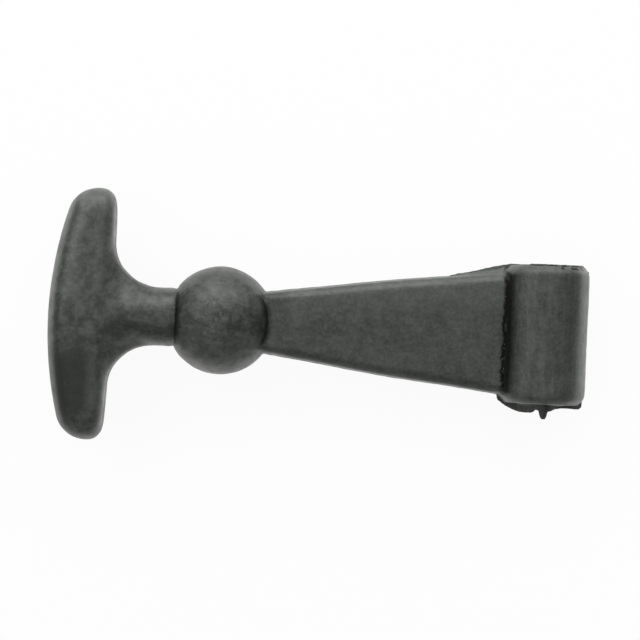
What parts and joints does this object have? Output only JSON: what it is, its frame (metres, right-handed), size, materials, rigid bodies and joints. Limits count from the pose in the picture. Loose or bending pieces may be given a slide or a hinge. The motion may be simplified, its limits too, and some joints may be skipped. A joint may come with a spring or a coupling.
{
  "type": "rubber draw strap",
  "caption": "Moulded rubber draw strap for a battery hold-down: T-handle, neck, ball stop, tapering strap and a barrel with a through bore for the hinge pin.",
  "frame": {"origin": "middle of the pin bore, on its axis", "axes": "+X along the strap from the T-handle to the pin barrel, +Y along the bore, +Z out of the face that lies upwards; Z = 0 is the mould's parting plane"},
  "size_m": [0.1273, 0.0596, 0.0254],
  "materials": {
    "rubber": "matte, with a faint grey bloom"
  },
  "bodies": {
    "root": {"strap": "rubber"}
  },
  "joints": []
}
